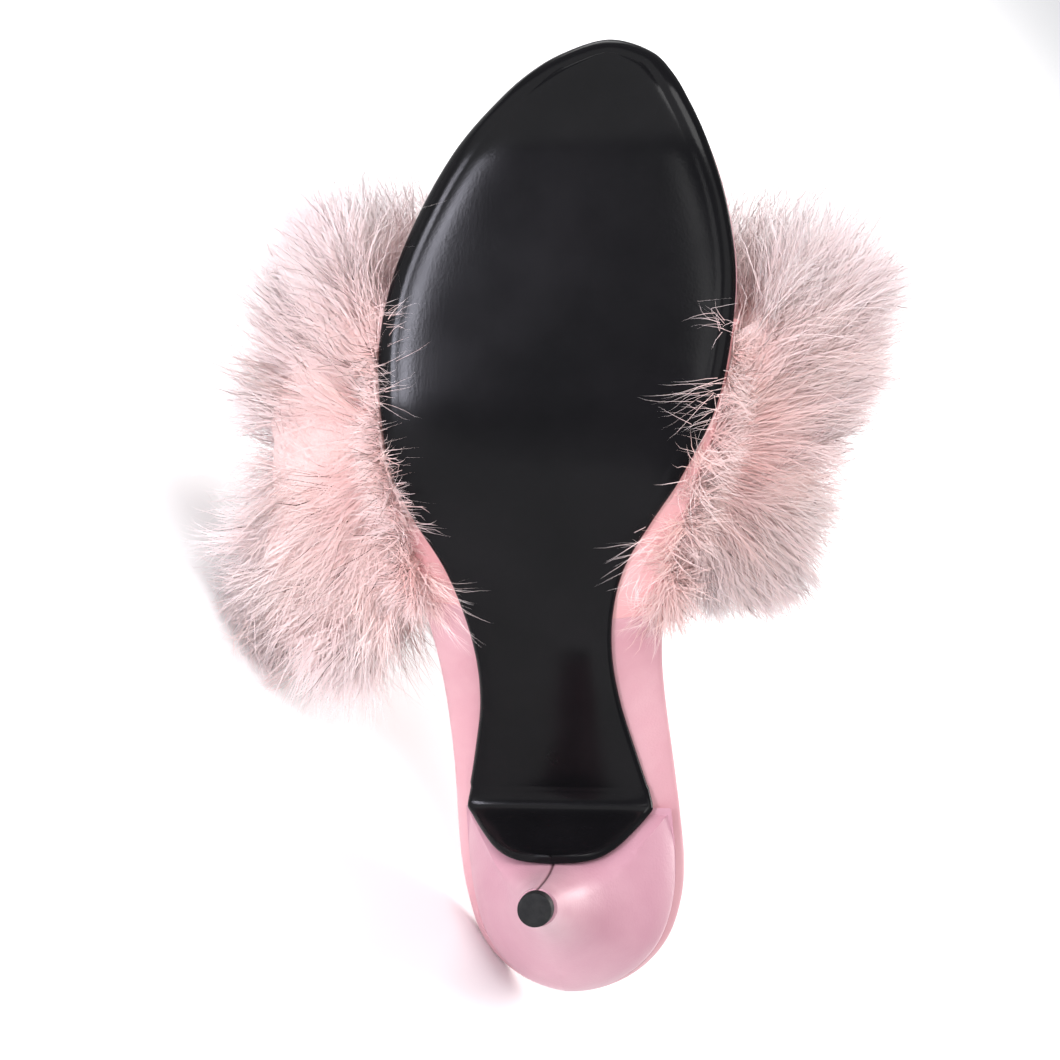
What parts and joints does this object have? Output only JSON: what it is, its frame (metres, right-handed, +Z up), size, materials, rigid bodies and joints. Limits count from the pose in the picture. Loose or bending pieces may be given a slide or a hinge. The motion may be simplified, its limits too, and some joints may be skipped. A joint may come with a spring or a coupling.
{
  "type": "marabou slipper",
  "caption": "Heeled open-toe mule for the right foot, lying on its outer side: black leather sole, pink covered kitten heel and footbed, and a vamp deep in pale pink marabou down.",
  "frame": {"origin": "centre of the bounding box's base, on the floor that the shoe lies on", "axes": "+Z up from the floor. The shoe lies on its outer side with its tread towards -Y, its toe up and towards -X, and its heel seat on the floor towards +X"},
  "size_m": [0.2008, 0.1344, 0.1886],
  "materials": {
    "sole_leather": "polished smooth black, satin gloss",
    "pink_leather": "smooth nappa, soft sheen",
    "vamp_leather": "smooth nappa, soft sheen",
    "marabou_down": "deep soft down, matt",
    "heel_cover": "smooth covered heel, soft sheen",
    "top_piece_rubber": "matt black"
  },
  "bodies": {
    "root": {"outsole": "sole_leather", "footbed": "pink_leather", "upper": "vamp_leather", "marabou": "marabou_down", "heel": "heel_cover", "top_piece": "top_piece_rubber"}
  },
  "joints": []
}
